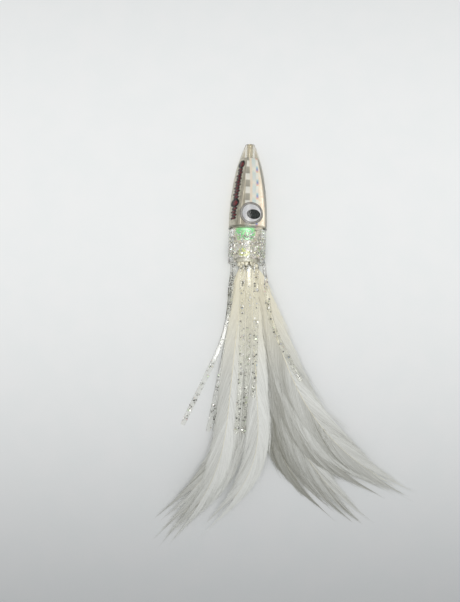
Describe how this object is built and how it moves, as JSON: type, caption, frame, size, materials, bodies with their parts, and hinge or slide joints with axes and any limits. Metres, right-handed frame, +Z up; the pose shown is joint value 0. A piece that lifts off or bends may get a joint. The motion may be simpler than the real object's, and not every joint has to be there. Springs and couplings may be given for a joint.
{
  "type": "skirted trolling lure",
  "caption": "Bullet-headed clear resin trolling lure with a foil insert and domed eyes, a clear glitter skirt and two splayed bunches of white hackle feathers.",
  "frame": {"origin": "on the table under the middle of the lure's bounding box, the lure lying on its belly", "axes": "+Y from the feather tips to the nose, +Z up from the table, +X to the right seen from above with the nose away"},
  "size_m": [0.1224, 0.2022, 0.0207],
  "materials": {
    "head_resin": "polished",
    "foil": "gloss",
    "belly_foil": "gloss",
    "decal": "gloss",
    "insert_white": "satin",
    "eye_white": "gloss",
    "eye_black": "gloss",
    "eye_clear": "polished",
    "tube_clear": "gloss",
    "pearl_film": "gloss",
    "quill_cream": "matte",
    "thread": "satin",
    "skirt_vinyl": "gloss",
    "hackle": "matte"
  },
  "bodies": {
    "head": {"head_body": "head_resin", "flank_foil_right": "foil", "flank_foil_left": "foil", "belly_foil": "belly_foil", "back_strip": "decal", "insert_core": "insert_white", "eye_cup_right": "eye_white", "eye_cup_left": "eye_white", "eye_pupil_right": "eye_black", "eye_pupil_left": "eye_black", "eye_lens_right": "eye_clear", "eye_lens_left": "eye_clear", "leader_tube": "tube_clear", "pearl_wrap": "pearl_film", "quill_butts": "quill_cream", "whipping_thread": "thread", "skirt_hood": "skirt_vinyl"},
    "skirt_left": {"skirt_leg_left_outer": "skirt_vinyl", "skirt_leg_left_1": "skirt_vinyl", "skirt_leg_left_2": "skirt_vinyl", "skirt_leg_left_3": "skirt_vinyl", "skirt_leg_under_1": "skirt_vinyl", "skirt_leg_under_2": "skirt_vinyl"},
    "skirt_right": {"skirt_leg_right_1": "skirt_vinyl", "skirt_leg_right_2": "skirt_vinyl", "skirt_leg_under_3": "skirt_vinyl", "skirt_leg_under_4": "skirt_vinyl"},
    "skirt_centre": {"skirt_leg_centre_1": "skirt_vinyl", "skirt_leg_centre_2": "skirt_vinyl", "skirt_leg_centre_3": "skirt_vinyl"},
    "hackles_left": {"hackle_left_1": "hackle", "hackle_left_2": "hackle", "hackle_left_3": "hackle", "hackle_left_4": "hackle", "hackle_left_5": "hackle"},
    "hackles_right": {"hackle_right_1": "hackle", "hackle_right_2": "hackle", "hackle_right_3": "hackle", "hackle_right_4": "hackle", "hackle_right_5": "hackle", "hackle_right_6": "hackle"}
  },
  "joints": [
    {"name": "skirt_left_sway", "type": "hinge", "parent": "head", "child": "skirt_left", "pos_m": [-0.01849, 0.04061, 0.01], "axis": [0, 0, 1], "range_deg": [-10, 2], "stiffness_Nm_per_rad": 0.002},
    {"name": "skirt_right_sway", "type": "hinge", "parent": "head", "child": "skirt_right", "pos_m": [-0.01849, 0.04061, 0.01], "axis": [0, 0, 1], "range_deg": [-2, 10], "stiffness_Nm_per_rad": 0.002},
    {"name": "skirt_centre_sway", "type": "hinge", "parent": "head", "child": "skirt_centre", "pos_m": [-0.01849, 0.04061, 0.01], "axis": [0, 0, 1], "range_deg": [-5, 5], "stiffness_Nm_per_rad": 0.002},
    {"name": "hackles_left_sway", "type": "hinge", "parent": "head", "child": "hackles_left", "pos_m": [-0.01849, 0.04061, 0.01], "axis": [0, 0, 1], "range_deg": [-8, 3], "stiffness_Nm_per_rad": 0.002},
    {"name": "hackles_right_sway", "type": "hinge", "parent": "head", "child": "hackles_right", "pos_m": [-0.01849, 0.04061, 0.01], "axis": [0, 0, 1], "range_deg": [-3, 8], "stiffness_Nm_per_rad": 0.002}
  ]
}
